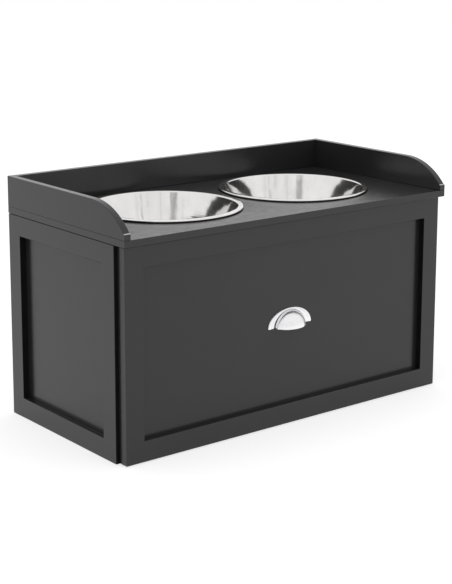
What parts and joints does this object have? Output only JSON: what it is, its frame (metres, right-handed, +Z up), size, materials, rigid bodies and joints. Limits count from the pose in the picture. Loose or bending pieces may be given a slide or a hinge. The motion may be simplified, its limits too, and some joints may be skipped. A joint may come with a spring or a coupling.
{
  "type": "elevated pet feeder with storage drawer",
  "caption": "Raised pet feeder: a dark framed cabinet with a cup-pull storage drawer on ball-bearing runners, a splash rail round the top board and lift-out steel bowls.",
  "frame": {"origin": "on the floor, under the middle of the whole feeder's bounding box", "axes": "+Z up, the drawer front faces -Y and opens that way, +X to the right of someone facing the drawer"},
  "size_m": [0.6, 0.3024, 0.36],
  "materials": {
    "painted_board": "fine board with a smooth satin charcoal paint",
    "bowl_steel": "spun stainless steel, brightly polished, with a fine concentric grain",
    "zinc_steel": "zinc-plated steel, semi-bright",
    "bearing_steel": "polished hardened steel",
    "pull_chrome": "bright chrome plate",
    "dowel_timber": "bare pale hardwood, ribbed dowel stock",
    "bumper": "soft matt black"
  },
  "bodies": {
    "cabinet": {"left_side_front_stile": "painted_board", "left_side_rear_stile": "painted_board", "left_side_top_rail": "painted_board", "left_side_bottom_rail": "painted_board", "left_side_panel": "painted_board", "right_side_front_stile": "painted_board", "right_side_rear_stile": "painted_board", "right_side_top_rail": "painted_board", "right_side_bottom_rail": "painted_board", "right_side_panel": "painted_board", "side_frame_dowels": "dowel_timber", "back_panel": "painted_board", "bottom_panel": "painted_board", "front_stretcher": "painted_board", "top_board": "painted_board", "left_rail": "painted_board", "right_rail": "painted_board", "back_rail": "painted_board", "rail_screws": "zinc_steel", "board_dowels": "dowel_timber", "cam_bolts": "zinc_steel", "cam_locks": "zinc_steel", "corner_brackets": "zinc_steel", "bracket_screws": "zinc_steel", "left_cabinet_runner": "zinc_steel", "right_cabinet_runner": "zinc_steel", "cabinet_runner_screws": "zinc_steel"},
    "drawer": {"left_drawer_runner": "zinc_steel", "right_drawer_runner": "zinc_steel", "drawer_runner_screws": "zinc_steel", "front_left_stile": "painted_board", "front_right_stile": "painted_board", "front_top_rail": "painted_board", "front_bottom_rail": "painted_board", "front_panel": "painted_board", "front_frame_dowels": "dowel_timber", "drawer_inner_front": "painted_board", "drawer_left_side": "painted_board", "drawer_right_side": "painted_board", "drawer_back": "painted_board", "drawer_base": "painted_board", "drawer_box_screws": "zinc_steel", "front_fixing_screws": "zinc_steel", "drawer_bumpers": "bumper", "cup_pull": "pull_chrome", "cup_pull_screws": "zinc_steel"},
    "runner_middles": {"left_middle_runner": "zinc_steel", "right_middle_runner": "zinc_steel"},
    "outer_bearings": {"outer_ball_cages": "zinc_steel", "outer_balls": "bearing_steel"},
    "inner_bearings": {"inner_ball_cages": "zinc_steel", "inner_balls": "bearing_steel"},
    "left_bowl": {"left_bowl": "bowl_steel"},
    "right_bowl": {"right_bowl": "bowl_steel"}
  },
  "joints": [
    {"name": "drawer_slide", "type": "slide", "parent": "cabinet", "child": "drawer", "axis": [0, -1, 0], "range_m": [0, 0.214]},
    {"name": "middle_slide", "type": "slide", "parent": "cabinet", "child": "runner_middles", "axis": [0, -1, 0], "range_m": [0, 0.107]},
    {"name": "outer_bearing_slide", "type": "slide", "parent": "cabinet", "child": "outer_bearings", "axis": [0, -1, 0], "range_m": [0, 0.0535]},
    {"name": "inner_bearing_slide", "type": "slide", "parent": "cabinet", "child": "inner_bearings", "axis": [0, -1, 0], "range_m": [0, 0.1605]},
    {"name": "left_bowl_lift", "type": "slide", "parent": "cabinet", "child": "left_bowl", "axis": [0, 0, 1], "range_m": [0, 0.11]},
    {"name": "right_bowl_lift", "type": "slide", "parent": "cabinet", "child": "right_bowl", "axis": [0, 0, 1], "range_m": [0, 0.11]}
  ],
  "couplings": [
    {"joint": "middle_slide", "follows": "drawer_slide", "ratio": 0.5},
    {"joint": "outer_bearing_slide", "follows": "drawer_slide", "ratio": 0.25},
    {"joint": "inner_bearing_slide", "follows": "drawer_slide", "ratio": 0.75}
  ]
}
